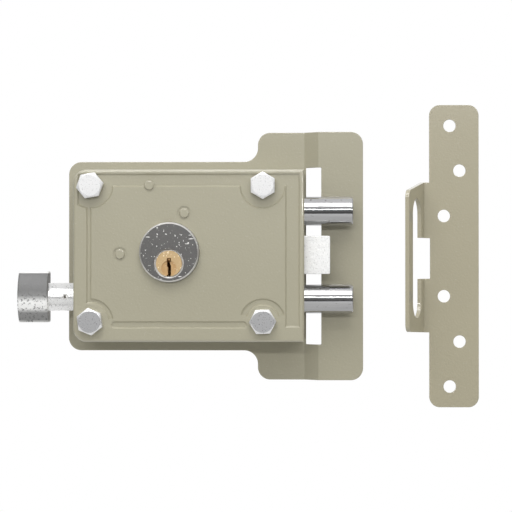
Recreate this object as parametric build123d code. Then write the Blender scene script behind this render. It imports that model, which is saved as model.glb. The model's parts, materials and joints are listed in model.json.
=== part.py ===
from build123d import *
import math
import os

# Rim box lock: a surface-mounted door lock with two round deadbolts thrown by
# a keyed cylinder, a sprung latch drawn back by a pull knob, and its strike.
#
# Frame, in millimetres: +X is the way the bolts are thrown, +Z is up, and the
# door face is the plane y = 0 with the lock standing out of it towards -Y.
# The origin is the middle of the four case bolts, on the door face.
# A depth is the distance out of the door face, so y = -depth.

# Case bolts, quarter inch, through the case and the door: behind the door face the
# thread is drawn plain, at its mean diameter
bolt_pitch_x = 85.0
bolt_edge_gap = 9.0
stud_dia = 6.35
thread_dia = 5.52
stud_length = 63.5
stud_tip_chamfer = 0.8
head_flats = 11.7
head_height = 4.3
head_crown_height = 0.9
head_crown_inset = 0.6
head_turns = (10, 30, 38, 2)
bolt_hole_gap = 0.25
nut_height = 5.4
nut_thread_gap = 0.03

# Case: a drawn cover on a flat T-shaped plate
plate_thick = 2.0
cover_thick = 1.6
case_depth = 30.0
case_height = 85.0
case_left_margin = 8.5
case_right_margin = 20.5
case_drop = 1.0
case_corner = 6.6
cover_front_edge = 1.3
plate_rim = 5.5
plate_corner = 6.4

# Head of the plate, with the joggle that steps over the strike
head_step = 14.8
head_overlap = 23.2
head_reach = 30.0
head_corner = 6.2
head_neck_radius = 7.0
window_gap = 1.3
window_width = 7.6
window_height = 89.5
joggle_gap = 0.4
joggle_rise = 5.0
joggle_run = 7.0

# Pressed border of the cover: widths are those of the floor, and the walls slope outwards
groove_depth = 0.8
groove_slope = 0.8
band_top_inset = 2.8
band_top_width = 5.1
band_right_inset = 2.9
band_right_width = 5.8
band_right_end = 7.9
groove_left_inset = 7.2
groove_left_width = 1.1
groove_bottom_inset = 7.3
groove_bottom_width = 2.2
groove_bottom_left_gap = 11.0
groove_bottom_right_gap = 8.4
pad_radius = 10.7
arc_width_left = 1.1
arc_width_right = 2.0
arc_left_start_angle = 7
arc_right_start_angle = 18

# Post rivets of the cover: place from the cylinder axis
rivet_places = ((-10.0, 33.0), (7.3, 19.3), (-24.4, -0.9))
rivet_head_dia = 4.8
rivet_head_height = 0.9
rivet_shank_dia = 3.2
rivet_tail_dia = 5.2
rivet_tail_height = 1.0
rivet_dimple_dia = 6.8
rivet_dimple_depth = 0.4
rivet_gap = 0.05

# Cylinder and plug
cylinder_x = -3.5
cylinder_z = 0.65
cylinder_dia = 29.4
cylinder_stand_out = 4.0
cylinder_length = 21.4
cylinder_edge = 0.8
cylinder_hole_gap = 0.2
plug_dia = 12.7
plug_drop = 5.55
plug_recess = 0.9
plug_gap = 0.05
plug_mouth_dia = 14.6
plug_mouth_depth = 2.8
plug_rear_length = 0.2
dish_dia = 7.4
dish_depth = 0.9
dish_drop = 2.3
keyway_width = 2.0
keyway_top = 2.7
keyway_depth = 18.0
ward_depth = 0.45
ward_height = 1.5
pin_count = 5
pin_pitch = 3.5
pin_first = 3.6
pin_dia = 2.9
pin_gap = 0.08
pin_lift = 0.05
key_pin_lengths = (4.6, 5.6, 4.0, 5.2, 4.4)
driver_length = 5.0
pin_spring_length = 6.0
pin_spring_wire = 0.34
pin_spring_turns = 6
chamber_cap_width = 3.6
chamber_cap_height = 1.5
chamber_cap_end = 2.2
nut_ring_wall = 2.3
nut_ring_height = 3.5

# Drive cam on the back of the plug
throw = 24.4
cam_thick = 2.0
cam_hub_dia = 12.0
cam_arm_width = 8.0
crank_pin_dia = 5.0
crank_pin_reach = 2.8
cam_running_gap = 0.4
cam_screw_dia = 2.5
cam_screw_head_dia = 4.2
cam_screw_head_height = 1.0
cam_screw_depth = 4.0
cam_screw_spread = 6.4

# Deadbolts and their carriage
deadbolt_dia = 14.5
deadbolt_spread = 43.9
deadbolt_centre_z = -0.6
deadbolt_front_gap = 14.8
deadbolt_inside = 33.5
deadbolt_edge = 0.7
deadbolt_hole_gap = 0.15
carriage_thick = 2.0
carriage_step_gap = 1.3
carriage_bar_width = 8.2
carriage_bar_height = 54.0
carriage_left_horn = 4.0
carriage_arm_top = 19.8
carriage_arm_bottom = 18.6
yoke_slack = 0.3
yoke_end_slack = 0.5
carriage_rivet_dia = 4.0
carriage_rivet_depth = 6.0
carriage_rivet_head_dia = 7.0
carriage_rivet_head_height = 1.1
guide_stud_dia = 5.0
guide_stud_x = 4.0
guide_stud_spread = 30.0
guide_slot_gap = 0.1
guide_stud_head_gap = 0.2

# Latch, its bar and spring
latch_height = 19.0
latch_thick = 14.3
latch_throw = 12.9
latch_inside = 11.9
latch_bevel_run = 11.0
latch_bevel_rise = 10.0
latch_edge = 0.8
latch_hole_gap = 0.35
latch_bar_thick = 2.0
latch_bar_gap = 2.0
latch_bar_width = 8.5
latch_bar_leg = 8.0
latch_bar_left = 32.5
latch_foot_inset = 0.6
latch_stem_dia = 5.0
latch_stem_length = 26.4
latch_spring_dia = 8.4
latch_spring_wire = 1.1
latch_spring_turns = 11
latch_spring_gap = 0.1
staple_width = 6.0
staple_wall = 1.2
staple_gap = 0.3
staple_place = 5.5

# Guides inside the cover
guide_plate_thick = 1.5
guide_plate_left = 29.5
guide_plate_top = 38.2
guide_plate_bottom = 9.6
ear_gap = 0.8
ear_height = 12.0
ear_hole_dia = 6.0
bolt_guide_thick = 2.0
bolt_guide_inset = 9.9
bolt_guide_foot = 7.0
bolt_guide_height = 61.0
bolt_guide_foot_thick = 1.6
bolt_guide_wall = 1.1

# Pull knob and its ribbed shaft
knob_length = 15.2
knob_height = 25.6
knob_depth = 12.0
knob_bulge_radius = 17.0
knob_edge = 0.8
knob_stand_off = 13.8
shaft_drop = 20.5
shaft_dia = 9.5
shaft_rib_span = 13.8
shaft_rib_thick = 5.0
shaft_socket = 9.0
shaft_gap = 0.25
shaft_inside = 21.4
shaft_foot_length = 6.4
roll_pin_dia = 3.0
roll_pin_bore = 1.6
roll_pin_length = 9.2
roll_pin_place = 5.2
roll_pin_gap = 0.03
knob_pin_place = 5.0

# Strike: a flat plate with a leaning flange that takes the bolts
strike_gap = 63.85
strike_width = 25.1
strike_height = 153.6
strike_corner = 5.3
strike_thick = 2.0
strike_hole_dia = 6.3
strike_hole_insets = (10.35, 15.35, 7.45)
strike_hole_end_gaps = (10.55, 33.35, 56.4)
flange_lean = 19
flange_depth = 30.0
flange_above = 37.4
flange_below = 38.8
flange_taper_above = 5.4
flange_taper_below = 1.2
flange_tab = 2.6
flange_corner = 4.0
strike_pocket_drop = 1.6
strike_slot_gap = 0.7
strike_notch_height = 20.6
strike_notch_bite = 0.4

# One overrun for every through cut
over = 1.0

# Places worked out from the sizes above
bolt_pitch_z = case_height - 2 * bolt_edge_gap
case_left = -bolt_pitch_x / 2 - case_left_margin
case_right = bolt_pitch_x / 2 + case_right_margin
cover_inside = case_depth - cover_thick
wall_inside = case_right - cover_thick
head_full_height = case_height + 2 * plate_rim + 2 * head_step
plug_z = cylinder_z - plug_drop
nut_ring_dia = cylinder_dia + 2 * nut_ring_wall
cylinder_face = case_depth + cylinder_stand_out
cylinder_back = cylinder_face - cylinder_length
plug_face = cylinder_face - plug_recess
cam_front = cylinder_back - plug_rear_length
cam_back = cam_front - cam_thick
carriage_front = cam_back - cam_running_gap
carriage_back = carriage_front - carriage_thick
crank = throw / 2
deadbolt_depth = case_depth - deadbolt_front_gap
deadbolt_tip = case_right + throw
deadbolt_zs = (deadbolt_centre_z + deadbolt_spread / 2, deadbolt_centre_z - deadbolt_spread / 2)
deadbolt_left = case_right - deadbolt_inside
latch_left = case_right - latch_inside
latch_tip = case_right + latch_throw
latch_z = deadbolt_centre_z
latch_back = deadbolt_depth - latch_thick / 2
latch_front = deadbolt_depth + latch_thick / 2
bar_front = latch_back - latch_bar_gap
bar_back = bar_front - latch_bar_thick
shaft_z = -shaft_drop - case_drop
guide_plate_back = cover_inside - guide_plate_thick
ear_left = cylinder_x + nut_ring_dia / 2 + ear_gap
knob_right = case_left - knob_stand_off
strike_left = case_right + strike_gap
strike_z = latch_z - strike_pocket_drop


# Solids by their corners and axes: depth pairs run out of the door face
def block(x, depth, z):
    size = Box(x[1] - x[0], depth[1] - depth[0], z[1] - z[0])
    return Pos((x[0] + x[1]) / 2, -(depth[0] + depth[1]) / 2, (z[0] + z[1]) / 2) * size


def rod_x(dia, x, depth, z):
    return Pos((x[0] + x[1]) / 2, -depth, z) * Rot(0, 90, 0) * Cylinder(dia / 2, x[1] - x[0])


def rod_y(dia, x, depth, z):
    return Pos(x, -(depth[0] + depth[1]) / 2, z) * Rot(90, 0, 0) * Cylinder(dia / 2, depth[1] - depth[0])


def rod_z(dia, x, depth, z):
    return Pos(x, -depth, (z[0] + z[1]) / 2) * Cylinder(dia / 2, z[1] - z[0])


def slab(outline, near, far):
    return extrude(Plane.XZ.offset(near) * outline, amount=far - near)


def area(x, z):
    return Pos((x[0] + x[1]) / 2, (z[0] + z[1]) / 2) * Rectangle(x[1] - x[0], z[1] - z[0])


def round_rect(width, height, radius):
    return RectangleRounded(width, height, radius)


def coil(dia, wire, turns, length):
    # an open spring along +Z from zero, swept from its lower end
    rise = length - wire
    path = Helix(pitch=rise / turns, height=rise, radius=dia / 2)
    ring = Plane(origin=path @ 0, z_dir=path % 0) * Circle(wire / 2)
    return Pos(0, 0, wire / 2) * sweep(ring, path=path, is_frenet=True)


def save(shape, node):
    export_step(shape, f"parts/{node}.step")


def case_bolt_places():
    half_x = bolt_pitch_x / 2
    half_z = bolt_pitch_z / 2
    return ((-half_x, half_z), (half_x, half_z), (-half_x, -half_z), (half_x, -half_z))


def rivet_points():
    return [(cylinder_x + dx, cylinder_z + dz) for dx, dz in rivet_places]


# Back plate: a T whose head steps out to clear the strike
def head_outline():
    head_x = (case_right - head_overlap, case_right + head_reach)
    neck_x = (case_left - plate_rim, head_x[0] + over)
    neck_half = case_height / 2 + plate_rim
    neck = area(neck_x, (-neck_half, neck_half))
    neck = fillet(neck.vertices().group_by(Axis.X)[0], plate_corner)
    head = area(head_x, (-head_full_height / 2, head_full_height / 2))
    head = fillet(head.vertices(), head_corner)
    tee = neck + head
    inner = [v for v in tee.vertices() if abs(abs(v.Y) - neck_half) < over and abs(v.X - head_x[0]) < over]
    return Pos(0, -case_drop) * fillet(inner, head_neck_radius)


def joggled_sheet():
    left = case_left - plate_rim - over
    right = case_right + head_reach + over
    bend_left = case_right + joggle_gap
    bend_right = bend_left + joggle_run
    profile = Polyline(
        (left, 0),
        (bend_left, 0),
        (bend_right, -joggle_rise),
        (right, -joggle_rise),
        (right, -joggle_rise - plate_thick),
        (bend_right, -joggle_rise - plate_thick),
        (bend_left, -plate_thick),
        (left, -plate_thick),
        close=True,
    )
    half = head_full_height / 2 + case_drop + over
    return extrude(make_face(profile), amount=half, both=True)


def back_plate():
    deep = joggle_rise + plate_thick + over
    plate = joggled_sheet() & slab(head_outline(), -over, deep)
    window_x = (case_right + window_gap, case_right + window_gap + window_width)
    window_z = (-window_height / 2 - case_drop, window_height / 2 - case_drop)
    plate -= block(window_x, (-over, deep), window_z)
    for x, z in case_bolt_places():
        plate -= rod_y(stud_dia + 2 * bolt_hole_gap, x, (-over, plate_thick + over), z)
    for x, z in guide_stud_places():
        plate -= rod_y(guide_stud_dia, x, (-over, plate_thick + over), z)
    return plate


# Cover: a drawn shell with a pressed border
def cover_outline(shrink):
    half = case_height / 2 - shrink
    outline = area((case_left + shrink, case_right - shrink), (-half, half))
    outline = fillet(outline.vertices().group_by(Axis.X)[0], case_corner - shrink)
    return Pos(0, -case_drop) * outline


def sloped(outline):
    # a cutter that stands on the floor of a groove, with its walls leaning outwards
    lean = math.degrees(math.atan2(groove_slope, groove_depth))
    cutter = extrude(outline, amount=groove_depth + over, taper=-lean)
    return Pos(0, groove_depth - case_depth, 0) * Rot(90, 0, 0) * cutter


def sloped_disc(radius, x, z, way=1):
    # the same on a round floor, and with way -1 a boss that narrows outwards
    height = groove_depth + over
    run = way * groove_slope * height / groove_depth
    middle = case_depth - groove_depth + height / 2
    return Pos(x, -middle, z) * Rot(90, 0, 0) * Cone(radius, radius + run, height)


def arc_groove(x, z, width, start, stop):
    ring = sloped_disc(pad_radius, x, z) - sloped_disc(pad_radius - width, x, z, -1)
    reach = 2 * pad_radius
    steps = (start, (start + stop) / 2, stop)
    corners = [(x + reach * math.cos(math.radians(a)), z + reach * math.sin(math.radians(a))) for a in steps]
    wedge = make_face(Polyline((x, z), *corners, close=True))
    return ring & slab(wedge, case_depth - groove_depth, case_depth + over)


def border_cutter():
    top = case_height / 2 - case_drop
    bottom = -case_height / 2 - case_drop
    half_x = bolt_pitch_x / 2
    half_z = bolt_pitch_z / 2
    band_z = (top - band_top_inset - band_top_width, top - band_top_inset)
    band_x = (case_right - band_right_inset - band_right_width, case_right - band_right_inset)
    field = sloped(area((case_left + band_top_inset, band_x[1]), (bottom, band_z[1])))
    border = sloped(area((-half_x, band_x[1]), band_z))
    border += sloped(area(band_x, (bottom + band_right_end, band_z[1])))
    for x in (-half_x, half_x):
        border += sloped_disc(pad_radius, x, half_z) & field
    left_x = (case_left + groove_left_inset, case_left + groove_left_inset + groove_left_width)
    border += sloped(area(left_x, (-half_z + pad_radius - arc_width_left, half_z)))
    return border + arc_groove(-half_x, -half_z, arc_width_left, arc_left_start_angle, 90)


def bottom_groove():
    bottom = -case_height / 2 - case_drop
    x = (-bolt_pitch_x / 2 + groove_bottom_left_gap, bolt_pitch_x / 2 - groove_bottom_right_gap)
    length = x[1] - x[0]
    middle_z = bottom + groove_bottom_inset + groove_bottom_width / 2
    return Pos((x[0] + x[1]) / 2, middle_z) * SlotOverall(length, groove_bottom_width)


def cover():
    shell = slab(cover_outline(0), plate_thick, case_depth)
    shell = fillet(shell.faces().sort_by(Axis.Y)[0].edges(), cover_front_edge)
    shell -= slab(cover_outline(cover_thick), plate_thick - over, cover_inside)
    right_arc = arc_groove(bolt_pitch_x / 2, -bolt_pitch_z / 2, arc_width_right, arc_right_start_angle,
                           180 - arc_right_start_angle)
    shell -= border_cutter()
    shell -= sloped(bottom_groove())
    shell -= right_arc
    through = (cover_inside - over, case_depth + over)
    for x, z in case_bolt_places():
        shell -= rod_y(stud_dia + 2 * bolt_hole_gap, x, through, z)
    for x, z in rivet_points():
        shell -= rod_y(rivet_shank_dia + 2 * rivet_gap, x, through, z)
        shell -= rod_y(rivet_dimple_dia, x, (case_depth - rivet_dimple_depth, case_depth + over), z)
    shell -= rod_y(cylinder_dia + 2 * cylinder_hole_gap, cylinder_x, through, cylinder_z)
    wall = (wall_inside - over, case_right + over)
    for z in deadbolt_zs:
        shell -= rod_x(deadbolt_dia + 2 * deadbolt_hole_gap, wall, deadbolt_depth, z)
    half = latch_height / 2 + latch_hole_gap
    latch_depth = (latch_back - latch_hole_gap, latch_front + latch_hole_gap)
    shell -= block(wall, latch_depth, (latch_z - half, latch_z + half))
    shell -= shaft_section((case_left - over, case_left + cover_thick + over), shaft_gap)
    return shell


# Case bolts and the nuts that hold them to the plate
def hexagon(flats):
    return RegularPolygon(flats / 2, 6, major_radius=False)


def case_bolt(x, z, turn):
    head = slab(Pos(x, z) * Rot(0, 0, turn) * hexagon(head_flats), case_depth, case_depth + head_height)
    corner_radius = head_flats / 2 / math.cos(math.pi / 6)
    crown_depth = case_depth + head_height - head_crown_height
    crown = rod_y(2 * corner_radius, x, (case_depth - over, crown_depth), z)
    cone = Cone(corner_radius, head_flats / 2 - head_crown_inset, head_crown_height)
    crown += Pos(x, -crown_depth - head_crown_height / 2, z) * Rot(90, 0, 0) * cone
    thread = rod_y(thread_dia, x, (case_depth - stud_length, 0), z)
    thread = chamfer(thread.edges().sort_by(Axis.Y)[-1], stud_tip_chamfer)
    return (head & crown) + rod_y(stud_dia, x, (0, case_depth), z) + thread


def case_bolts():
    bolts = [case_bolt(x, z, turn) for (x, z), turn in zip(case_bolt_places(), head_turns)]
    return Compound(children=bolts)


def case_nuts():
    nuts = []
    for x, z in case_bolt_places():
        nut = slab(Pos(x, z) * hexagon(head_flats), plate_thick, plate_thick + nut_height)
        nuts.append(nut - rod_y(stud_dia + 2 * nut_thread_gap, x, (0, case_depth), z))
    return Compound(children=nuts)


# Rivets that hold the guide plate to the cover
def post_rivets():
    rivets = []
    floor = case_depth - rivet_dimple_depth
    for x, z in rivet_points():
        head = rod_y(rivet_head_dia, x, (floor, floor + rivet_head_height), z)
        head = fillet(head.edges().sort_by(Axis.Y)[0], rivet_head_height * 2 / 3)
        shank = rod_y(rivet_shank_dia, x, (guide_plate_back, floor), z)
        tail = rod_y(rivet_tail_dia, x, (guide_plate_back - rivet_tail_height, guide_plate_back), z)
        rivets.append(head + shank + tail)
    return Compound(children=rivets)


def guide_plate():
    ear_x = (ear_left, ear_left + guide_plate_thick)
    left = cylinder_x - guide_plate_left
    plate = block((left, ear_x[1]), (guide_plate_back, cover_inside), (-guide_plate_bottom, guide_plate_top))
    ear_z = (latch_z - ear_height / 2, latch_z + ear_height / 2)
    plate += block(ear_x, (carriage_front + 2 * cam_running_gap, cover_inside), ear_z)
    plate -= rod_x(ear_hole_dia, (ear_x[0] - over, ear_x[1] + over), deadbolt_depth, latch_z)
    through = (guide_plate_back - over, cover_inside + over)
    plate -= rod_y(cylinder_dia + 2 * cylinder_hole_gap, cylinder_x, through, cylinder_z)
    for x, z in rivet_points():
        plate -= rod_y(rivet_shank_dia + 2 * rivet_gap, x, through, z)
    return plate


def bolt_guide():
    x = (case_right - bolt_guide_inset - bolt_guide_thick, case_right - bolt_guide_inset)
    z = (deadbolt_centre_z - bolt_guide_height / 2, deadbolt_centre_z + bolt_guide_height / 2)
    back = deadbolt_depth - deadbolt_dia / 2 - bolt_guide_wall
    guide = block(x, (back, cover_inside), z)
    guide += block((x[0], x[0] + bolt_guide_foot), (cover_inside - bolt_guide_foot_thick, cover_inside), z)
    through = (x[0] - over, x[1] + over)
    for bolt_z in deadbolt_zs:
        guide -= rod_x(deadbolt_dia + 2 * deadbolt_hole_gap, through, deadbolt_depth, bolt_z)
    half = latch_height / 2 + latch_hole_gap
    guide -= block(through, (back - over, latch_front + latch_hole_gap), (latch_z - half, latch_z + half))
    return guide


# Cylinder: shell, plug, pins and the ring nut
def pin_depths():
    return [plug_face - pin_first - n * pin_pitch for n in range(pin_count)]


def shear_line():
    return plug_z + plug_dia / 2 + pin_lift


def cap_z():
    low = shear_line() + driver_length + pin_spring_length
    return (low, low + chamber_cap_height)


def cap_depth():
    depths = pin_depths()
    return (depths[-1] - chamber_cap_end, depths[0] + chamber_cap_end)


def cap_x(gap):
    return (cylinder_x - chamber_cap_width / 2 - gap, cylinder_x + chamber_cap_width / 2 + gap)


def cylinder_shell():
    shell = rod_y(cylinder_dia, cylinder_x, (cylinder_back, cylinder_face), cylinder_z)
    shell = chamfer(shell.edges().sort_by(Axis.Y)[0], cylinder_edge)
    shell -= rod_y(plug_dia + 2 * plug_gap, cylinder_x, (cylinder_back - over, cylinder_face + over), plug_z)
    mouth = (cylinder_face - plug_mouth_depth, cylinder_face + over)
    shell -= rod_y(plug_mouth_dia, cylinder_x, mouth, plug_z)
    for depth in pin_depths():
        shell -= rod_z(pin_dia + 2 * pin_gap, cylinder_x, depth, (plug_z, cap_z()[0] + pin_gap))
    top = cylinder_z + cylinder_dia / 2 + over
    shell -= block(cap_x(pin_gap), cap_depth(), (cap_z()[0], top))
    return shell


def chamber_cap():
    return block(cap_x(0), cap_depth(), cap_z())


def driver_pins():
    low = shear_line()
    pins = [rod_z(pin_dia, cylinder_x, depth, (low, low + driver_length)) for depth in pin_depths()]
    return Compound(children=pins)


def pin_springs():
    low = shear_line() + driver_length
    spring = coil(pin_dia - 2 * pin_spring_wire, pin_spring_wire, pin_spring_turns, pin_spring_length)
    springs = [Pos(cylinder_x, -depth, low) * spring for depth in pin_depths()]
    return Compound(children=springs)


def key_pins():
    high = plug_z + math.sqrt((plug_dia / 2) ** 2 - (pin_dia / 2) ** 2) - pin_lift
    pins = []
    for depth, length in zip(pin_depths(), key_pin_lengths):
        pins.append(rod_z(pin_dia, cylinder_x, depth, (high - length, high)))
    return Compound(children=pins)


def keyway():
    front = plug_face + over
    back = plug_face - keyway_depth
    half = keyway_width / 2
    low = plug_z - plug_dia
    slot = block((cylinder_x - half, cylinder_x + half), (back, front), (low, plug_z + keyway_top))
    left_z = (plug_z - plug_dia / 4, plug_z - plug_dia / 4 + ward_height)
    right_z = (plug_z - ward_height / 2, plug_z + ward_height / 2)
    low_z = (plug_z - plug_dia / 2 + ward_height / 2, plug_z - plug_dia / 2 + 2 * ward_height)
    slot -= block((cylinder_x - half, cylinder_x - half + ward_depth), (back, front), left_z)
    slot -= block((cylinder_x + half - ward_depth, cylinder_x + half), (back, front), right_z)
    slot -= block((cylinder_x - half, cylinder_x - half + ward_depth), (back, front), low_z)
    return slot


def plug():
    body = rod_y(plug_dia, cylinder_x, (cam_front, plug_face), plug_z)
    body -= rod_y(dish_dia, cylinder_x, (plug_face - dish_depth, plug_face + over), plug_z - dish_drop)
    body -= keyway()
    chamber_floor = plug_z - plug_dia / 4
    for depth in pin_depths():
        body -= rod_z(pin_dia + 2 * pin_gap, cylinder_x, depth, (chamber_floor, plug_z + plug_dia))
    screw_depth = (cam_front - over, cam_front + cam_screw_depth)
    for x in cam_screw_xs():
        body -= rod_y(cam_screw_dia + 2 * rivet_gap, x, screw_depth, plug_z)
    return body


def cylinder_nut():
    ring = rod_y(nut_ring_dia, cylinder_x, (guide_plate_back - nut_ring_height, guide_plate_back), cylinder_z)
    bore = rod_y(cylinder_dia + 2 * nut_thread_gap, cylinder_x, (0, case_depth), cylinder_z)
    return ring - bore


# Drive cam: its crank pin runs in the yoke slot of the carriage
def cam_screw_xs():
    return (cylinder_x - cam_screw_spread / 2, cylinder_x + cam_screw_spread / 2)


def drive_cam():
    pin_x = cylinder_x + crank
    cam = rod_y(cam_hub_dia, cylinder_x, (cam_back, cam_front), plug_z)
    cam += rod_y(cam_arm_width, pin_x, (cam_back, cam_front), plug_z)
    half = cam_arm_width / 2
    cam += block((cylinder_x, pin_x), (cam_back, cam_front), (plug_z - half, plug_z + half))
    cam += rod_y(crank_pin_dia, pin_x, (cam_back - crank_pin_reach, cam_front), plug_z)
    for x in cam_screw_xs():
        cam -= rod_y(cam_screw_dia + 2 * rivet_gap, x, (0, case_depth), plug_z)
        head = (cam_back - over, cam_back + cam_screw_head_height + rivet_gap)
        cam -= rod_y(cam_screw_head_dia + 2 * rivet_gap, x, head, plug_z)
    return cam


def cam_screws():
    screws = []
    for x in cam_screw_xs():
        head = rod_y(cam_screw_head_dia, x, (cam_back, cam_back + cam_screw_head_height), plug_z)
        tip = cam_front + cam_screw_depth - rivet_gap
        screws.append(head + rod_y(cam_screw_dia, x, (cam_back, tip), plug_z))
    return Compound(children=screws)


# Deadbolts, carriage and the studs that guide it
def deadbolt(z):
    bolt = rod_x(deadbolt_dia, (deadbolt_left, deadbolt_tip), deadbolt_depth, z)
    bolt = fillet(bolt.edges().sort_by(Axis.X)[-1], deadbolt_edge)
    flat_x = (deadbolt_left - over, deadbolt_left + carriage_bar_width + carriage_step_gap)
    bolt -= block(flat_x, (0, carriage_front), (z - deadbolt_dia, z + deadbolt_dia))
    hole = (0, carriage_front + carriage_rivet_depth + rivet_gap)
    bolt -= rod_y(carriage_rivet_dia + 2 * rivet_gap, carriage_rivet_x(), hole, z)
    return bolt


def carriage_rivet_x():
    return deadbolt_left + carriage_bar_width / 2


def yoke_half():
    # the most that a pin on a circle strays from a slot that moves evenly
    lag = math.asin(2 / math.pi)
    stray = crank * (math.cos(lag) - 1 + 2 * lag / math.pi)
    return crank_pin_dia / 2 + stray + yoke_slack


def guide_stud_places():
    middle = (carriage_arm_top - carriage_arm_bottom) / 2
    return ((guide_stud_x, middle + guide_stud_spread / 2), (guide_stud_x, middle - guide_stud_spread / 2))


def bolt_carriage():
    depth = (carriage_back, carriage_front)
    yoke_x = cylinder_x + crank
    left = yoke_x - yoke_half() - carriage_left_horn
    right = deadbolt_left + carriage_bar_width
    half = carriage_bar_height / 2
    plate = block((deadbolt_left, right), depth, (deadbolt_centre_z - half, deadbolt_centre_z + half))
    plate += block((left, right), depth, (-carriage_arm_bottom, carriage_arm_top))
    low = plug_z - crank_pin_dia / 2 - yoke_end_slack
    high = plug_z + crank + crank_pin_dia / 2 + yoke_end_slack
    through = (carriage_back - over, carriage_front + over)
    plate -= block((yoke_x - yoke_half(), yoke_x + yoke_half()), through, (low, high))
    width = guide_stud_dia + 2 * guide_slot_gap
    for x, z in guide_stud_places():
        slot = Pos(x + throw / 2, z) * SlotOverall(throw + width, width)
        plate -= slab(slot, carriage_back - over, carriage_front + over)
    for z in deadbolt_zs:
        plate -= rod_y(carriage_rivet_dia + 2 * rivet_gap, carriage_rivet_x(), through, z)
    return plate


def carriage_rivets():
    rivets = []
    for z in deadbolt_zs:
        head_depth = (carriage_back - carriage_rivet_head_height, carriage_back)
        head = rod_y(carriage_rivet_head_dia, carriage_rivet_x(), head_depth, z)
        shank_depth = (carriage_back, carriage_front + carriage_rivet_depth)
        rivets.append(head + rod_y(carriage_rivet_dia, carriage_rivet_x(), shank_depth, z))
    return Compound(children=rivets)


def guide_studs():
    tip = carriage_front - guide_stud_head_gap
    studs = [rod_y(guide_stud_dia, x, (0, tip), z) for x, z in guide_stud_places()]
    return Compound(children=studs)


# Latch, with its bar along the back plate and its spring
def latch_bolt():
    half = latch_height / 2
    body = block((latch_left, latch_tip), (latch_back, latch_front), (latch_z - half, latch_z + half))
    body = fillet(body.edges().filter_by(Axis.Y).group_by(Axis.X)[-1], latch_edge)
    bevel = make_face(Polyline(
        (latch_tip + over, -latch_back + over),
        (latch_tip - latch_bevel_run, -latch_back + over),
        (latch_tip - latch_bevel_run, -latch_back),
        (latch_tip, -latch_back - latch_bevel_rise),
        (latch_tip + over, -latch_back - latch_bevel_rise),
        close=True,
    ))
    body -= Pos(0, 0, latch_z) * extrude(bevel, amount=latch_height, both=True)
    foot_x = (latch_left + latch_foot_inset, latch_left + latch_foot_inset + latch_bar_leg)
    foot_half = half - latch_foot_inset
    body += block(foot_x, (bar_front, latch_back + over), (latch_z - foot_half, latch_z + foot_half))
    stem_x = (latch_left - latch_stem_length, latch_left + over)
    return body + rod_x(latch_stem_dia, stem_x, deadbolt_depth, latch_z)


def bar_z():
    return (shaft_z - latch_bar_width / 2, shaft_z + latch_bar_width / 2)


def bar_left():
    return cylinder_x - latch_bar_left


def latch_bar():
    right = latch_left + latch_foot_inset + latch_bar_leg
    depth = (bar_back, bar_front)
    top = latch_z + latch_height / 2 - latch_foot_inset
    bar = block((bar_left(), right), depth, bar_z())
    bar += block((right - latch_bar_leg, right), depth, (bar_z()[0], top))
    return bar


def latch_spring():
    start = ear_left + guide_plate_thick + latch_spring_gap
    length = latch_left - latch_spring_gap - start
    spring = coil(latch_spring_dia, latch_spring_wire, latch_spring_turns, length)
    return Pos(start, -deadbolt_depth, latch_z) * Rot(0, 90, 0) * spring


def bar_staple():
    x = (cylinder_x - staple_place - staple_width / 2, cylinder_x - staple_place + staple_width / 2)
    outer = staple_gap + staple_wall
    z = (bar_z()[0] - outer, bar_z()[1] + outer)
    staple = block(x, (plate_thick, bar_front + outer), z)
    hollow_z = (bar_z()[0] - staple_gap, bar_z()[1] + staple_gap)
    return staple - block((x[0] - over, x[1] + over), (0, bar_front + staple_gap), hollow_z)


# Pull knob on a ribbed shaft, pinned
def shaft_section(x, gap):
    core = rod_x(shaft_dia + 2 * gap, x, deadbolt_depth, shaft_z)
    half_span = shaft_rib_span / 2 + gap
    half_thick = shaft_rib_thick / 2 + gap
    depth = (deadbolt_depth - half_thick, deadbolt_depth + half_thick)
    return core + block(x, depth, (shaft_z - half_span, shaft_z + half_span))


def pull_shaft():
    right = case_left + shaft_inside
    shaft = shaft_section((knob_right - shaft_socket, right), 0)
    foot_x = (right - shaft_foot_length, right)
    shaft += block(foot_x, (bar_front, deadbolt_depth), bar_z())
    depth = (deadbolt_depth - roll_pin_length, deadbolt_depth + roll_pin_length)
    shaft -= rod_y(roll_pin_dia + 2 * roll_pin_gap, case_left - roll_pin_place, depth, shaft_z)
    shaft -= rod_y(roll_pin_dia + 2 * roll_pin_gap, knob_right - knob_pin_place, knob_pin_depth(), shaft_z)
    return shaft


def knob_pin_depth():
    # from the back of the knob to the middle of the shaft
    return (deadbolt_depth - knob_depth / 2, deadbolt_depth)


def pull_knob():
    x = (knob_right - knob_length, knob_right)
    depth = (deadbolt_depth - knob_depth / 2, deadbolt_depth + knob_depth / 2)
    knob = block(x, depth, (shaft_z - knob_height / 2, shaft_z + knob_height / 2))
    knob &= rod_x(2 * knob_bulge_radius, x, depth[1] - knob_bulge_radius, shaft_z)
    knob = fillet(knob.edges(), knob_edge)
    knob -= shaft_section((knob_right - shaft_socket, knob_right + over), 0)
    pin_hole_dia = roll_pin_dia + 2 * roll_pin_gap
    return knob - rod_y(pin_hole_dia, knob_right - knob_pin_place, knob_pin_depth(), shaft_z)


def roll_pin(x, depth):
    pin = rod_y(roll_pin_dia, x, depth, shaft_z)
    return pin - rod_y(roll_pin_bore, x, (depth[0] - over, depth[1] + over), shaft_z)


def shaft_pin():
    depth = (deadbolt_depth - roll_pin_length / 2, deadbolt_depth + roll_pin_length / 2)
    return roll_pin(case_left - roll_pin_place, depth)


def knob_pin():
    return roll_pin(knob_right - knob_pin_place, knob_pin_depth())


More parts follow.
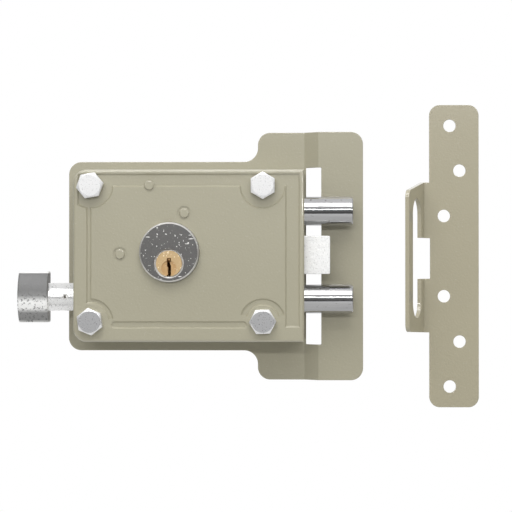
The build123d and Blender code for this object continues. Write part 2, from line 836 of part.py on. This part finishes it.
# Strike: base plate and leaning flange with the bolt slot and latch notch
def strike_holes():
    places = []
    for inset, end_gap in zip(strike_hole_insets, strike_hole_end_gaps):
        for side in (1, -1):
            places.append((strike_left + inset, side * (strike_height / 2 - end_gap) - case_drop))
    return places


def strike_flange():
    lean = math.radians(flange_lean)
    root_x = strike_left - flange_tab
    tip_x = root_x - (flange_depth - strike_thick) * math.tan(lean)
    across = strike_thick / math.cos(lean)
    profile = make_face(Polyline(
        (strike_left + over, 0),
        (root_x - strike_thick * math.tan(lean) / 2, 0),
        (root_x - across, -strike_thick),
        (tip_x - across, -flange_depth),
        (tip_x, -flange_depth),
        (root_x, -strike_thick),
        (strike_left + over, -strike_thick),
        close=True,
    ))
    flange = Pos(0, 0, -case_drop) * extrude(profile, amount=strike_height / 2, both=True)
    side = make_face(Polyline(
        (over, -flange_below),
        (over, flange_above),
        (-strike_thick, flange_above),
        (-flange_depth, flange_above - flange_taper_above),
        (-flange_depth, -flange_below + flange_taper_below),
        (-strike_thick, -flange_below),
        close=True,
    ))
    side = fillet(side.vertices().group_by(Axis.X)[0], flange_corner)
    reach = abs(tip_x - strike_left) + strike_width
    mask = extrude(Plane(origin=(strike_left + over, 0, -case_drop), x_dir=(0, 1, 0), z_dir=(1, 0, 0)) * side,
                   amount=-reach)
    return flange & mask


def strike():
    middle_x = strike_left + strike_width / 2
    outline = Pos(middle_x, -case_drop) * round_rect(strike_width, strike_height, strike_corner)
    plate = slab(outline, 0, strike_thick) + strike_flange()
    slot_half = deadbolt_spread / 2 + deadbolt_dia / 2 + strike_slot_gap
    slot_width = deadbolt_dia + 2 * strike_slot_gap
    cut = (strike_left - strike_width, strike_left)
    round_z = slot_half - slot_width / 2
    for side in (1, -1):
        plate -= rod_x(slot_width, cut, deadbolt_depth, strike_z + side * round_z)
    slot_depth = (deadbolt_depth - slot_width / 2, deadbolt_depth + slot_width / 2)
    plate -= block(cut, slot_depth, (strike_z - round_z, strike_z + round_z))
    notch_half = strike_notch_height / 2
    notch_x = (cut[0], strike_left + strike_notch_bite)
    plate -= block(notch_x, (-over, deadbolt_depth), (strike_z - notch_half, strike_z + notch_half))
    for x, z in strike_holes():
        plate -= rod_y(strike_hole_dia, x, (-over, strike_thick + over), z)
    return plate


def main():
    os.makedirs("parts", exist_ok=True)
    nodes = {
        "back_plate": back_plate,
        "cover": cover,
        "case_bolts": case_bolts,
        "case_nuts": case_nuts,
        "post_rivets": post_rivets,
        "guide_plate": guide_plate,
        "bolt_guide": bolt_guide,
        "guide_studs": guide_studs,
        "bar_staple": bar_staple,
        "cylinder_shell": cylinder_shell,
        "cylinder_nut": cylinder_nut,
        "chamber_cap": chamber_cap,
        "driver_pins": driver_pins,
        "pin_springs": pin_springs,
        "plug": plug,
        "key_pins": key_pins,
        "drive_cam": drive_cam,
        "cam_screws": cam_screws,
        "deadbolt_upper": lambda: deadbolt(deadbolt_zs[0]),
        "deadbolt_lower": lambda: deadbolt(deadbolt_zs[1]),
        "bolt_carriage": bolt_carriage,
        "carriage_rivets": carriage_rivets,
        "latch_bolt": latch_bolt,
        "latch_bar": latch_bar,
        "latch_spring": latch_spring,
        "pull_shaft": pull_shaft,
        "pull_knob": pull_knob,
        "shaft_pin": shaft_pin,
        "knob_pin": knob_pin,
        "strike": strike,
    }
    for node, make in nodes.items():
        save(make(), node)


main()
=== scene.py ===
import json
import math

import bpy
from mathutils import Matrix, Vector

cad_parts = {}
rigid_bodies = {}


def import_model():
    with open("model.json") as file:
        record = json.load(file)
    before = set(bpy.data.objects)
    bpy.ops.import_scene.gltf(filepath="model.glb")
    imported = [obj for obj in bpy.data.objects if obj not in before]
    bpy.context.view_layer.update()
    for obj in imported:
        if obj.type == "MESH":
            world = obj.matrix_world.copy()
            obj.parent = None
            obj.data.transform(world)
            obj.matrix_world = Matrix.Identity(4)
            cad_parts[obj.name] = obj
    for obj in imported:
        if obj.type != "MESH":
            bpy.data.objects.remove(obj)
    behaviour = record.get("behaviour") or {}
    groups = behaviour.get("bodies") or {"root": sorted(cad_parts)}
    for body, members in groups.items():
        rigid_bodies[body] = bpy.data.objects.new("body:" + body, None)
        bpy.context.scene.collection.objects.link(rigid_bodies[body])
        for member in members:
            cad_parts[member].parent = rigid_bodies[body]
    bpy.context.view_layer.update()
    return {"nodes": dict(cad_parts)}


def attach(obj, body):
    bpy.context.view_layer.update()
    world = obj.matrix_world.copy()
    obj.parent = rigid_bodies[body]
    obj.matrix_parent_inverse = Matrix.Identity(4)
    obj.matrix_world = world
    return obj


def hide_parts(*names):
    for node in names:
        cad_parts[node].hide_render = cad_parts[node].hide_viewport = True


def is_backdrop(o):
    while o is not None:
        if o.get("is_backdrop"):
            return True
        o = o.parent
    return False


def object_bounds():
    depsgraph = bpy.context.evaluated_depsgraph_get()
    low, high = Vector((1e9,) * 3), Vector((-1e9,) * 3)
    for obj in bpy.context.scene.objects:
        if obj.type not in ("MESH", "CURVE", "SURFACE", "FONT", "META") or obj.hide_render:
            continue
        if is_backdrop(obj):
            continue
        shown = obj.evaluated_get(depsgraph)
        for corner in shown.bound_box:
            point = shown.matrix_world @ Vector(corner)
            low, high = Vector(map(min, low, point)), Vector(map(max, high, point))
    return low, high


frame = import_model()
nodes = frame["nodes"]
print("frame loaded with", len(nodes), "nodes")


# a socket that can be used in Python sums
class Wire:
    def __init__(self, finish, socket):
        self.finish = finish
        self.socket = socket

    def maths(self, operation, first, second):
        return self.finish.node("ShaderNodeMath", {"operation": operation}, {0: first, 1: second})

    def __add__(self, other):
        return self.maths("ADD", self, other)

    def __sub__(self, other):
        return self.maths("SUBTRACT", self, other)

    def __rsub__(self, other):
        return self.maths("SUBTRACT", other, self)

    def __mul__(self, other):
        return self.maths("MULTIPLY", self, other)

    def __truediv__(self, other):
        return self.maths("DIVIDE", self, other)

    def __gt__(self, other):
        return self.maths("GREATER_THAN", self, other)

    __radd__ = __add__


# a material or a world whose nodes are made one call at a time
class Finish:
    def __init__(self, name, owner=None):
        self.block = owner or bpy.data.materials.new(name)
        self.block.use_nodes = True
        self.tree = self.block.node_tree
        self.place = self.node("ShaderNodeTexCoord", {}, {}, "Object")

    def node(self, kind, settings, values, output=0):
        made = self.tree.nodes.new(kind)
        for key, value in settings.items():
            if key == "stops":
                self.setStops(made.color_ramp, value)
            else:
                setattr(made, key, value)
        for key, value in values.items():
            self.plug(made.inputs[key], value)
        return Wire(self, made.outputs[output])

    def plug(self, socket, value):
        if isinstance(value, Wire):
            self.tree.links.new(value.socket, socket)
        else:
            socket.default_value = value

    def setStops(self, ramp, stops):
        while len(ramp.elements) < len(stops):
            ramp.elements.new(0.5)
        for element, (position, level) in zip(ramp.elements, stops):
            element.position = position
            element.color = (level, level, level, 1)

    def mix(self, mask, dark, light):
        ends = {0: mask, 6: paint(dark), 7: paint(light)}
        return self.node("ShaderNodeMix", {"data_type": "RGBA"}, ends, 2)

    def grain(self, size, detail=2.0, stretch=(1, 1, 1)):
        turned = self.node("ShaderNodeMapping", {}, {"Vector": self.place, "Scale": stretch})
        return self.node("ShaderNodeTexNoise", {}, {"Vector": turned, "Scale": 1 / size, "Detail": detail})

    def ramp(self, wire, low, high):
        stops = ((low, 0), (high, 1))
        return self.node("ShaderNodeValToRGB", {"stops": stops}, {0: wire})

    def height(self):
        return self.node("ShaderNodeSeparateXYZ", {}, {0: self.place}, "Z")

    def withFlankHighlight(self, tone, settings):
        # what lies behind the front face of a piece gets a flat colour: a painted highlight on the hex
        # heads' sides and the cylinder's side wall, and close to its own brass on the plug
        if "faceDepth" not in settings:
            return tone
        flankHighlight = self.node("ShaderNodeSeparateXYZ", {}, {0: self.place}, "Y") > -settings["faceDepth"]
        return self.mix(flankHighlight, tone, settings["flankHighlight"])

    def bump(self, wire, depth):
        return self.node("ShaderNodeBump", {}, {"Strength": 1.0, "Distance": depth, "Height": wire})

    def surface(self, **values):
        shader = self.tree.nodes["Principled BSDF"]
        for name, value in values.items():
            self.plug(shader.inputs[name.replace("_", " ")], paint(value))
        return self.block


def paint(colour):
    return (*colour, 1) if isinstance(colour, tuple) and len(colour) == 3 else colour


# finishes
def enamelFinish(settings):
    finish = Finish(settings["name"])
    cloud = finish.grain(settings["cloudSize"], settings["cloudDetail"])
    peel = finish.grain(settings["peelSize"])
    speck = finish.grain(settings["speckSize"], settings["speckDetail"])
    speck = finish.ramp(speck, settings["speckLow"], settings["speckHigh"])
    colour = finish.mix(cloud, settings["shade"], settings["colour"])
    return finish.surface(
        Base_Color=finish.mix(speck * settings["speckLevel"], colour, settings["speck"]),
        Roughness=settings["roughness"] + peel * settings["peelRoughness"],
        Coat_Weight=settings["coat"],
        Coat_Roughness=settings["coatRoughness"],
        Coat_IOR=settings["coatIndex"],
        Normal=finish.bump(peel, settings["peelDepth"]),
    )


caseEnamel = {
    "name": "puttyEnamel",
    "colour": (0.425, 0.401, 0.296),
    "shade": (0.395, 0.370, 0.268),
    "speck": (0.52, 0.50, 0.40),
    "speckLevel": 0.35,
    "cloudSize": 0.035,
    "cloudDetail": 3.0,
    "peelSize": 0.0011,
    "speckSize": 0.0009,
    "speckDetail": 1.0,
    "speckLow": 0.68,
    "speckHigh": 0.76,
    "roughness": 0.30,
    "peelRoughness": 0.12,
    "peelDepth": 0.00009,
    "coat": 1.0,
    "coatRoughness": 0.09,
    "coatIndex": 1.7,
}
strikeEnamel = {
    **caseEnamel,
    "name": "strikeEnamel",
    "colour": (0.430, 0.394, 0.277),
    "shade": (0.400, 0.365, 0.255),
}


def polishedFinish(settings):
    finish = Finish(settings["name"])
    streak = finish.grain(settings["streakSize"], settings["streakDetail"], settings["streakStretch"])
    pit = finish.ramp(finish.grain(settings["pitSize"]), settings["pitLow"], settings["pitHigh"])
    tone = finish.mix(streak, settings["dark"], settings["light"])
    return finish.surface(
        Base_Color=finish.mix(pit * settings["pitLevel"], tone, settings["pit"]),
        Metallic=1.0,
        Roughness=settings["roughness"] + streak * settings["streakRoughness"],
        Normal=finish.bump(streak, settings["streakDepth"]),
    )


boltChrome = {
    "name": "boltChrome",
    "dark": (0.38, 0.38, 0.39),
    "light": (0.54, 0.54, 0.54),
    "pit": (0.14, 0.13, 0.12),
    "pitLevel": 0.5,
    "pitSize": 0.0016,
    "pitLow": 0.66,
    "pitHigh": 0.72,
    "streakSize": 0.0012,
    "streakDetail": 3.0,
    "streakStretch": (0.04, 1, 1),
    "roughness": 0.06,
    "streakRoughness": 0.09,
    "streakDepth": 0.00002,
}


def hammeredWithPaintedLight(settings):
    finish = Finish(settings["name"])
    dimple = finish.grain(settings["dimpleSize"], settings["dimpleDetail"])
    fleck = finish.ramp(finish.grain(settings["fleckSize"]), settings["fleckLow"], settings["fleckHigh"])
    # the colour runs in bands by height between a shaded and a lit colour: painted highlight and painted
    # shade for how light falls on each piece; the same bands also lower the metallic
    share = (finish.height() - settings["bandLow"]) / (settings["bandHigh"] - settings["bandLow"])
    paintedLight = finish.node("ShaderNodeValToRGB", {"stops": settings["paintedLightStops"]}, {0: share})
    pocked = finish.node("ShaderNodeValToRGB", {"stops": settings["pockedStops"]}, {0: share})
    tone = finish.withFlankHighlight(finish.mix(paintedLight, settings["shadedColour"], settings["bright"]), settings)
    return finish.surface(
        Base_Color=finish.mix(fleck * pocked * settings["fleckLevel"], tone, settings["fleck"]),
        Metallic=settings["metal"] - paintedLight * settings["bandMetal"],
        Roughness=settings["roughness"] + dimple * settings["dimpleRoughness"],
        Normal=finish.bump(dimple, settings["dimpleDepth"]),
    )


knobZinc = {
    "name": "knobZinc",
    # the knob's colour is painted light: a painted highlight band just below the middle, thin painted
    # highlights on the top and bottom edges and painted shade elsewhere, with little metal so the lamps add
    # few real reflections
    "shadedColour": (0.11, 0.11, 0.11),
    "bright": (0.95, 0.95, 0.94),
    "fleck": (0.10, 0.10, 0.10),
    "fleckLevel": 0.8,
    "fleckSize": 0.0011,
    "fleckLow": 0.55,
    "fleckHigh": 0.66,
    "bandLow": -0.0343,
    "bandHigh": -0.0087,
    "paintedLightStops": ((0.0, 0.9), (0.05, 0.22), (0.19, 0.24), (0.28, 1.0), (0.41, 1.0),
                  (0.52, 0.2), (0.62, 0.1), (0.955, 0.1), (0.97, 0.9)),
    "pockedStops": ((0.0, 1), (0.5, 1), (0.62, 0)),
    "metal": 0.25,
    "bandMetal": 0.25,
    "roughness": 0.42,
    "dimpleRoughness": 0.2,
    "dimpleSize": 0.0016,
    "dimpleDetail": 3.0,
    "dimpleDepth": 0.00022,
}
latchZinc = {
    **knobZinc,
    "name": "latchZinc",
    "shadedColour": (0.86, 0.86, 0.86),
    "fleck": (0.42, 0.42, 0.41),
    "fleckLevel": 0.5,
    "fleckSize": 0.0007,
    "fleckLow": 0.56,
    "fleckHigh": 0.70,
    # the latch is painted darker at the bottom and lightest a little above the middle: painted light
    "bandLow": -0.0101,
    "bandHigh": 0.0089,
    "paintedLightStops": ((0.0, 0.6), (0.3, 0.9), (0.7, 0.95), (1.0, 0.8)),
    "pockedStops": ((0.0, 1), (1.0, 1)),
    "metal": 0.75,
    "bandMetal": 0.5,
    "roughness": 0.26,
    "dimpleDepth": 0.0001,
}
smoothZinc = {
    **latchZinc,
    "shadedColour": (0.52, 0.52, 0.53),
    "bright": (0.78, 0.78, 0.78),
    "fleck": (0.35, 0.35, 0.36),
    "fleckLevel": 0.4,
    "fleckSize": 0.0005,
    "fleckLow": 0.62,
    "fleckHigh": 0.72,
    # painted light by height: the upper hex heads are painted lit and the lower ones painted shaded
    "bandLow": -0.04,
    "bandHigh": 0.04,
    "paintedLightStops": ((0.0, 0.12), (0.45, 0.15), (0.6, 0.95), (1.0, 1.0)),
    "metal": 0.8,
    "bandMetal": 0.5,
    "roughness": 0.2,
    "dimpleSize": 0.0007,
    "dimpleDepth": 0.00003,
}
headZinc = {
    **smoothZinc,
    "name": "headZinc",
    # the heads' sides behind the front face get a flat painted highlight
    "faceDepth": 0.03422,
    "flankHighlight": (0.88, 0.88, 0.88),
}
shaftZinc = {
    **smoothZinc,
    "name": "shaftZinc",
    # the rod's colour is one flat tone; its height bands only lower the metallic, which paints lighter and
    # darker stripes along it
    "bandLow": -0.0284,
    "bandHigh": -0.0146,
    "shadedColour": (0.88, 0.88, 0.88),
    "bright": (0.88, 0.88, 0.88),
    "paintedLightStops": ((0.0, 0.9), (0.17, 0.85), (0.2, 0.1), (0.5, 0.15), (0.62, 0.8), (0.8, 0.1), (1.0, 0.95)),
}


def scuffedFinish(settings):
    finish = Finish(settings["name"])
    fine = finish.grain(settings["fineSize"], settings["fineDetail"])
    chip = finish.grain(settings["chipSize"], settings["chipDetail"])
    chip = finish.ramp(chip, settings["chipLow"], settings["chipHigh"])
    hair = finish.grain(settings["hairSize"], stretch=settings["hairStretch"])
    hair = finish.ramp(hair, settings["hairLow"], settings["hairHigh"])
    chip = chip.maths("MAXIMUM", chip, hair)
    # behind a piece's front face the flank colour is put in: a painted highlight on the cylinder
    tone = finish.withFlankHighlight(finish.mix(fine, settings["dark"], settings["light"]), settings)
    return finish.surface(
        Base_Color=finish.mix(chip, tone, settings["chip"]),
        Metallic=settings["metal"] - chip * settings["chipMetal"],
        Roughness=settings["roughness"] + fine * settings["fineRoughness"],
        Normal=finish.bump(fine + chip, settings["depth"]),
    )


scuffedSteel = {
    "chipMetal": 0.5,
    "chipSize": 0.0011,
    "chipDetail": 1.5,
    "chipLow": 0.665,
    "chipHigh": 0.70,
    "hairSize": 0.0009,
    "hairStretch": (0.16, 1, 1),
    "hairLow": 0.69,
    "hairHigh": 0.72,
    "fineSize": 0.0006,
    "fineDetail": 3.0,
    "metal": 0.85,
    "roughness": 0.30,
    "fineRoughness": 0.15,
    "depth": 0.00003,
}
cylinderSteel = {
    **scuffedSteel,
    "name": "cylinderSteel",
    # the cylinder's side wall and rim behind the face get a painted highlight, standing in for the light
    # they reflect
    "faceDepth": 0.03392,
    "flankHighlight": (0.72, 0.71, 0.69),
    "dark": (0.12, 0.118, 0.115),
    "light": (0.17, 0.167, 0.162),
    "chip": (0.93, 0.92, 0.90),
}
plugBrass = {
    **scuffedSteel,
    "name": "plugBrass",
    # behind its face the plug gets a flank colour close to its own brass
    "faceDepth": 0.03302,
    "flankHighlight": (0.62, 0.40, 0.19),
    "dark": (0.59, 0.405, 0.20),
    "light": (0.70, 0.515, 0.29),
    "chip": (0.98, 0.84, 0.60),
    "chipMetal": 0.1,
    "chipSize": 0.0014,
    "metal": 0.5,
    "roughness": 0.24,
}
innerSteel = {
    **scuffedSteel,
    "name": "innerSteel",
    "dark": (0.72, 0.71, 0.69),
    "light": (0.72, 0.71, 0.69),
    "chip": (0.66, 0.65, 0.62),
}


# pieces: each is a copy of a solid, with its edges rolled as a press or a mould leaves them
rolling = {"weldGap": 1e-6, "flatAngle": 0.5, "segments": 3, "sharpAngle": 32, "smoothAngle": 40}


def clearSelection():
    for thing in bpy.context.scene.objects:
        thing.select_set(False)


def rolledPiece(settings, material):
    source = nodes[settings["node"]]
    piece = bpy.data.objects.new(settings["piece"], source.data.copy())
    bpy.context.scene.collection.objects.link(piece)
    clearSelection()
    piece.select_set(True)
    bpy.context.view_layer.objects.active = piece
    bpy.ops.object.mode_set(mode="EDIT")
    bpy.ops.mesh.select_all(action="SELECT")
    bpy.ops.mesh.customdata_custom_splitnormals_clear()
    bpy.ops.mesh.remove_doubles(threshold=rolling["weldGap"])
    bpy.ops.mesh.dissolve_limited(angle_limit=math.radians(rolling["flatAngle"]))
    bpy.ops.object.mode_set(mode="OBJECT")
    bevel = piece.modifiers.new("rolledEdge", "BEVEL")
    bevel.width = settings["edge"]
    bevel.segments = rolling["segments"]
    bevel.limit_method = "ANGLE"
    bevel.angle_limit = math.radians(settings.get("sharpAngle", rolling["sharpAngle"]))
    bevel.use_clamp_overlap = True
    bpy.ops.object.modifier_apply(modifier=bevel.name)
    bpy.ops.object.shade_smooth_by_angle(angle=math.radians(rolling["smoothAngle"]))
    weighted = piece.modifiers.new("flatFaces", "WEIGHTED_NORMAL")
    weighted.keep_sharp = True
    bpy.ops.object.modifier_apply(modifier=weighted.name)
    piece.data.materials.clear()
    piece.data.materials.append(material)
    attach(piece, settings["body"])
    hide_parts(settings["node"])
    print("piece", piece.name, len(piece.data.polygons), "faces")


enamelOnCase = enamelFinish(caseEnamel)
pressedCover = {"piece": "pressedCover", "node": "cover", "body": "case",
                "slot": "case_paint", "edge": 0.00033}
teePlate = {"piece": "teePlate", "node": "back_plate", "body": "case", "slot": "case_paint", "edge": 0.00035}
rolledPiece(pressedCover, enamelOnCase)
rolledPiece(teePlate, enamelOnCase)

strikePlate = {"piece": "strikePlate", "node": "strike", "body": "case",
               "slot": "strike_paint", "edge": 0.0004}
rolledPiece(strikePlate, enamelFinish(strikeEnamel))

rivetHeads = {"piece": "rivetHeads", "node": "post_rivets", "body": "case",
              "slot": "case_paint", "edge": 0.00012}
rolledPiece(rivetHeads, enamelOnCase)

hexHeads = {"piece": "hexHeads", "node": "case_bolts", "body": "case",
            "slot": "bright_zinc", "edge": 0.00022,
            "sharpAngle": 20}
rolledPiece(hexHeads, hammeredWithPaintedLight(headZinc))

cylinderBody = {"piece": "cylinderBody", "node": "cylinder_shell", "body": "case", "slot": "cylinder_steel",
                "edge": 0.00018}
rolledPiece(cylinderBody, scuffedFinish(cylinderSteel))

keyPlug = {"piece": "keyPlug", "node": "plug", "body": "plug", "slot": "brass", "edge": 0.00012}
brassOnPlug = scuffedFinish(plugBrass)
rolledPiece(keyPlug, brassOnPlug)

chromeOnBolts = polishedFinish(boltChrome)
upperBolt = {"piece": "upperBolt", "node": "deadbolt_upper", "body": "deadbolts", "slot": "bolt_chrome",
             "edge": 0.0002}
lowerBolt = {**upperBolt, "piece": "lowerBolt", "node": "deadbolt_lower"}
rolledPiece(upperBolt, chromeOnBolts)
rolledPiece(lowerBolt, chromeOnBolts)

latchHead = {"piece": "latchHead", "node": "latch_bolt", "body": "latch",
             "slot": "bright_zinc", "edge": 0.0004}
rolledPiece(latchHead, hammeredWithPaintedLight(latchZinc))

pullKnob = {"piece": "pullKnob", "node": "pull_knob", "body": "latch", "slot": "bolt_chrome", "edge": 0.0003}
rolledPiece(pullKnob, hammeredWithPaintedLight(knobZinc))

pullRod = {"piece": "pullRod", "node": "pull_shaft", "body": "latch", "slot": "bright_zinc", "edge": 0.0003}
rolledPiece(pullRod, hammeredWithPaintedLight(shaftZinc))

steelInside = scuffedFinish(innerSteel)
brassNodes = ("chamber_cap", "driver_pins", "key_pins")
for name, node in nodes.items():
    if not node.hide_render:
        node.data.materials.clear()
        node.data.materials.append(brassOnPlug if name in brassNodes else steelInside)
print("inner pieces finished")


# camera where the photograph was taken, light and floor
camera = {
    "place": (0.0510, -0.850, -0.0081),
    "target": (0.0392, -0.030, -0.0012),
    "millimetresPerPixel": 0.492,
    "framePixels": 512,
    "distance": 820.0,
    "clip": (0.01, 20),
}


def aim(thing, target):
    direction = Vector(target) - thing.location
    thing.rotation_euler = direction.to_track_quat("-Z", "Y").to_euler()


def placeCamera(settings):
    lens = bpy.data.cameras.new("photoCamera")
    view = bpy.data.objects.new("photoCamera", lens)
    bpy.context.scene.collection.objects.link(view)
    view.location = settings["place"]
    aim(view, settings["target"])
    halfWidth = settings["framePixels"] / 2 * settings["millimetresPerPixel"]
    lens.angle = 2 * math.atan(halfWidth / settings["distance"])
    lens.clip_start, lens.clip_end = settings["clip"]
    bpy.context.scene.camera = view


lamps = (
    {"name": "topSoftbox", "place": (-0.05, -0.42, 0.62), "size": (0.5, 0.3), "power": 1.8},
    {"name": "highStrip", "place": (0.04, -1.05, 0.82), "size": (1.6, 0.08), "power": 2.5},
    {"name": "lowStrip", "place": (0.04, -1.35, 0.30), "size": (1.6, 0.06), "power": 5.0},
)
lampTarget = (0.04, -0.01, 0.0)


def placeLamp(settings):
    lamp = bpy.data.lights.new(settings["name"], "AREA")
    lamp.shape = "RECTANGLE"
    lamp.size, lamp.size_y = settings["size"]
    lamp.energy = settings["power"]
    holder = bpy.data.objects.new(settings["name"], lamp)
    bpy.context.scene.collection.objects.link(holder)
    holder.location = settings["place"]
    aim(holder, lampTarget)


studio = {
    "fill": 1.05,
    "fillStops": ((0.0, 0.03), (0.3, 0.05), (0.47, 0.2), (0.6, 0.32), (0.75, 0.72), (1.0, 1.0)),
    "backdropFrom": 0.85,
    "floorDrop": 0.16,
    "floorSize": 1.25,
    "floorColour": (0.55, 0.55, 0.54),
    "floorCloud": (0.9, 0.9, 0.9),
    "floorCloudSize": 0.4,
    "floorCloudLevel": 0.1,
    "floorRoughness": 0.85,
    "floorGlow": 0.35,
    "fadeFrom": 0.30,
    "fadeTo": 0.58,
    "page": (1, 1, 1, 1),
    "pageStrength": 1.0,
}


def backgroundRays(finish):
    # rays that should meet the pale background: the camera's, and those off metal or glass
    def ray(kind):
        return finish.node("ShaderNodeLightPath", {}, {}, kind)

    return ray("Is Camera Ray"), ray("Is Glossy Ray") + ray("Is Transmission Ray")


def makeWorld(settings):
    world = bpy.data.worlds.new("paleStudio")
    bpy.context.scene.world = world
    light = Finish("paleStudio", world)
    way = light.node("ShaderNodeTexCoord", {}, {}, "Generated")
    tilt = light.node("ShaderNodeSeparateXYZ", {}, {0: way}, "Z") * 0.5 + 0.5
    behind = light.node("ShaderNodeSeparateXYZ", {}, {0: way}, "Y") > settings["backdropFrom"]
    level = light.node("ShaderNodeValToRGB", {"stops": settings["fillStops"]}, {0: tilt})
    room = light.node("ShaderNodeBackground", {}, {"Color": level, "Strength": settings["fill"]})
    shown = {"Color": settings["page"], "Strength": settings["pageStrength"]}
    page = light.node("ShaderNodeBackground", {}, shown)
    cameraRay, metalRay = backgroundRays(light)
    both = light.node("ShaderNodeMixShader", {}, {0: cameraRay + metalRay * behind, 1: room, 2: page})
    light.tree.links.new(both.socket, light.tree.nodes["World Output"].inputs["Surface"])


def makeFloor(settings):
    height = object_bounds()[0].z - settings["floorDrop"]
    clearSelection()
    bpy.ops.mesh.primitive_plane_add(size=settings["floorSize"], location=(0, 0, height))
    floor = bpy.context.object
    floor.name = "paleFloor"
    finish = Finish("paleFloor")
    cloud = finish.grain(settings["floorCloudSize"]) * settings["floorCloudLevel"]
    shaded = finish.mix(cloud, settings["floorColour"], settings["floorCloud"])
    finish.surface(Base_Color=shaded, Roughness=settings["floorRoughness"])
    shown = {"Color": settings["page"], "Strength": settings["pageStrength"]}
    glow = finish.node("ShaderNodeEmission", {}, shown)
    reach = finish.node("ShaderNodeVectorMath", {"operation": "LENGTH"}, {0: finish.place}, "Value")
    fade = (reach - settings["fadeFrom"]) / (settings["fadeTo"] - settings["fadeFrom"])
    fade = finish.node("ShaderNodeClamp", {}, {0: fade})
    level = settings["floorGlow"] + fade * (1 - settings["floorGlow"])
    cameraRay, metalRay = backgroundRays(finish)
    matt = Wire(finish, finish.tree.nodes["Principled BSDF"].outputs[0])
    both = finish.node("ShaderNodeMixShader", {}, {0: (cameraRay + metalRay) * level, 1: matt, 2: glow})
    finish.tree.links.new(both.socket, finish.tree.nodes["Material Output"].inputs["Surface"])
    floor.data.materials.append(finish.block)
    floor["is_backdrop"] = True


makeFloor(studio)
makeWorld(studio)
for settings in lamps:
    placeLamp(settings)
placeCamera(camera)
bpy.context.scene.view_settings.view_transform = "Standard"
print("camera, light and floor placed")
